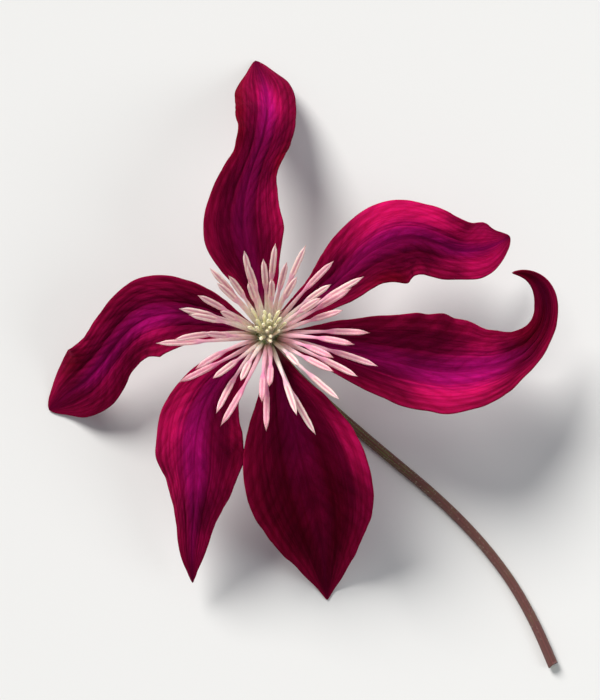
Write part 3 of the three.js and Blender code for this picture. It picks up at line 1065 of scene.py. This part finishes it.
def light_studio():
    world = bpy.data.worlds.new("studio")
    world.use_nodes = True
    sky = world.node_tree.nodes["Background"]
    sky.inputs["Color"].default_value = (0.93, 0.96, 1.0, 1)
    sky.inputs["Strength"].default_value = 0.3
    bpy.context.scene.world = world
    hang_lamp("key", "SUN", (-0.6, 0.8, 0.84), 3.8, (1.0, 0.98, 0.95), angle=math.radians(28))
    hang_lamp("fill", "AREA", (1.0, -0.3, 0.84), 4, (0.95, 0.97, 1.0), shape="DISK", size=0.8)


def set_camera(settings):
    scene = bpy.context.scene
    data = bpy.data.cameras.new("camera")
    data.sensor_fit = "VERTICAL"
    data.sensor_height = 24
    data.lens = data.sensor_height * settings.distance / settings.framing
    data.clip_start = 0.01
    camera = new_object("camera", data)
    look = Vector((0, math.cos(settings.elevation), -math.sin(settings.elevation)))
    camera.location = FLOWER_MIDDLE - look * settings.distance
    camera.rotation_euler = look.to_track_quat("-Z", "Y").to_euler()
    scene.camera = camera
    scene.view_settings.view_transform = "Standard"


# The add-on


def colour_setting(name, description, default):
    return FloatVectorProperty(name=name, description=description, subtype="COLOR", default=default)


def size_setting(name, description, default, least, most):
    description += ", in millimetres"
    return FloatProperty(name=name, description=description, default=default, min=least, max=most)


def count_setting(name, description, default, least, most):
    return IntProperty(name=name, description=description, default=default, min=least, max=most)


class ClematisTepals(PropertyGroup):
    thickness: size_setting("Thickness", "How thick a blade is along its middle", 0.42, 0.1, 1.0)
    crimp: size_setting("Crimping", "Height of the margins' fine waves", 0.4, 0.0, 1.0)
    rib_depth: size_setting("Rib depth", "How deep the three ribs are sunk", 0.3, 0.0, 0.5)
    vein_depth: size_setting("Vein depth", "How deep the side veins are sunk", 0.08, 0.0, 0.2)
    hairs: count_setting("Hairs", "Short hairs under each tepal", 420, 0, 1500)
    bar_colour: colour_setting("Bar", "The purple middle of the upper face", (0.13, 0.002, 0.04))
    inner_colour: colour_setting(
        "Inner face", "The wine red between the bar and the margins", (0.095, 0.0012, 0.019)
    )
    margin_colour: colour_setting("Margins", "The crimson of the margins", (0.2, 0.003, 0.032))
    # Painted light that also stands for the blade's own flush: the crimson of the lit patches
    glow_colour: colour_setting(
        "Glow", "The bright crimson that lights parts of the upper face", (0.58, 0.007, 0.108)
    )
    # Painted light that also stands for the bar's own flush: the magenta of the lit patches on the bar
    magenta_colour: colour_setting(
        "Bright bar", "The magenta of the bar where it is brightest", (0.34, 0.004, 0.13)
    )
    back_bar_colour: colour_setting("Back bar", "The magenta middle of the under face", (0.38, 0.02, 0.19))
    back_margin_colour: colour_setting(
        "Back margins", "The wine red margins of the under face", (0.22, 0.002, 0.065)
    )
    back_rib_colour: colour_setting("Back ribs", "The mauve ribs of the under face", (0.5, 0.2, 0.36))


class ClematisStamens(PropertyGroup):
    count: count_setting("Stamens", "How many stamens the flower has", 44, 2, 90)
    filament_colour: colour_setting("Filaments", "The cream of the filaments", (0.92, 0.8, 0.72))
    flush_colour: colour_setting(
        "Flush", "The pink that the filaments flush below the anthers", (0.8, 0.44, 0.54)
    )
    anther_colour: colour_setting("Anthers", "The pinkish cream of the anthers' sacs", (0.88, 0.62, 0.6))
    connective_colour: colour_setting(
        "Connective", "The pink line between an anther's two sacs", (0.6, 0.2, 0.3)
    )


class ClematisStyles(PropertyGroup):
    count: count_setting("Styles", "How many styles stand in the tuft", 20, 2, 40)
    hairs: count_setting("Hairs", "Silky hairs on each style", 44, 0, 80)
    foot_colour: colour_setting("Foot", "The green of the styles' feet", (0.2, 0.24, 0.06))
    top_colour: colour_setting("Top", "The cream of the styles' tops", (0.97, 0.93, 0.62))


class ClematisStalk(PropertyGroup):
    hairs: count_setting("Hairs", "Fine hairs along the stalk", 1400, 0, 3000)
    rib_depth: FloatProperty(
        name="Rib depth",
        description="How deep the grooves between the stalk's ribs are, as a share of its radius",
        subtype="FACTOR",
        default=0.12,
        min=0.0,
        max=0.3,
    )
    green: colour_setting("Green", "The stalk's own green", (0.17, 0.23, 0.055))
    flush: colour_setting("Flush", "The purple brown that flushes the stalk", (0.12, 0.038, 0.035))


class ClematisStage(PropertyGroup):
    elevation: FloatProperty(
        name="Camera elevation",
        description="How steeply the camera looks down",
        subtype="ANGLE",
        default=math.radians(80),
    )
    distance: FloatProperty(
        name="Camera distance",
        description="From the camera to the middle of the flower",
        unit="LENGTH",
        default=0.55,
    )
    framing: FloatProperty(
        name="Framing",
        description="Height of the picture at the flower",
        unit="LENGTH",
        default=0.122,
    )
    floor_colour: colour_setting("Floor", "The pale floor", (0.76, 0.76, 0.75))


class CLEMATIS_OT_tepals(Operator):
    """Make the six tepals and the down under them"""

    bl_idname = "clematis.tepals"
    bl_label = "Tepals"

    def execute(self, context):
        settings = context.scene.clematis_tepals
        materials = [tepal_face_material(settings), tepal_back_material(settings)]
        for number, tepal in enumerate(TEPALS, 1):
            build_tepal(number, tepal, settings, materials)
        build_tepal_down(settings, hair_material())
        return {"FINISHED"}


class CLEMATIS_OT_stamens(Operator):
    """Make the brush of stamens"""

    bl_idname = "clematis.stamens"
    bl_label = "Stamens"

    def execute(self, context):
        settings = context.scene.clematis_stamens
        build_stamens(settings, stamen_material(settings))
        return {"FINISHED"}


class CLEMATIS_OT_styles(Operator):
    """Make the tuft of styles and its silky hairs"""

    bl_idname = "clematis.styles"
    bl_label = "Styles"

    def execute(self, context):
        settings = context.scene.clematis_styles
        build_styles(settings, style_material(settings), hair_material())
        return {"FINISHED"}


class CLEMATIS_OT_stalk(Operator):
    """Make the stalk with the receptacle, its cut end and its down"""

    bl_idname = "clematis.stalk"
    bl_label = "Stalk"

    def execute(self, context):
        settings = context.scene.clematis_stalk
        build_stalk(settings, [stalk_material(settings), cut_material()], hair_material())
        return {"FINISHED"}


class CLEMATIS_OT_stage(Operator):
    """Make the floor, the lights and the camera"""

    bl_idname = "clematis.stage"
    bl_label = "Stage"

    def execute(self, context):
        settings = context.scene.clematis_stage
        lay_floor(settings)
        light_studio()
        set_camera(settings)
        return {"FINISHED"}


class CLEMATIS_PT_flower(Panel):
    bl_label = "Clematis flower"
    bl_space_type = "VIEW_3D"
    bl_region_type = "UI"
    bl_category = "Clematis"

    def draw(self, context):
        for operator in OPERATORS:
            self.layout.operator(operator.bl_idname)
        for name in GROUPS:
            group = getattr(context.scene, name)
            box = self.layout.box()
            for key in group.__annotations__:
                box.prop(group, key)


GROUPS = {
    "clematis_tepals": ClematisTepals,
    "clematis_stamens": ClematisStamens,
    "clematis_styles": ClematisStyles,
    "clematis_stalk": ClematisStalk,
    "clematis_stage": ClematisStage,
}
OPERATORS = [
    CLEMATIS_OT_stalk,
    CLEMATIS_OT_tepals,
    CLEMATIS_OT_stamens,
    CLEMATIS_OT_styles,
    CLEMATIS_OT_stage,
]


def register():
    for group in GROUPS.values():
        bpy.utils.register_class(group)
    for name, group in GROUPS.items():
        setattr(bpy.types.Scene, name, PointerProperty(type=group))
    for operator in OPERATORS:
        bpy.utils.register_class(operator)
    bpy.utils.register_class(CLEMATIS_PT_flower)


def unregister():
    bpy.utils.unregister_class(CLEMATIS_PT_flower)
    for operator in reversed(OPERATORS):
        bpy.utils.unregister_class(operator)
    for name in GROUPS:
        delattr(bpy.types.Scene, name)
    for group in reversed(GROUPS.values()):
        bpy.utils.unregister_class(group)


def main():
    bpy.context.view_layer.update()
    register()
    bpy.ops.clematis.stalk()
    bpy.ops.clematis.tepals()
    bpy.ops.clematis.stamens()
    bpy.ops.clematis.styles()
    bpy.ops.clematis.stage()


if __name__ == "__main__":
    main()
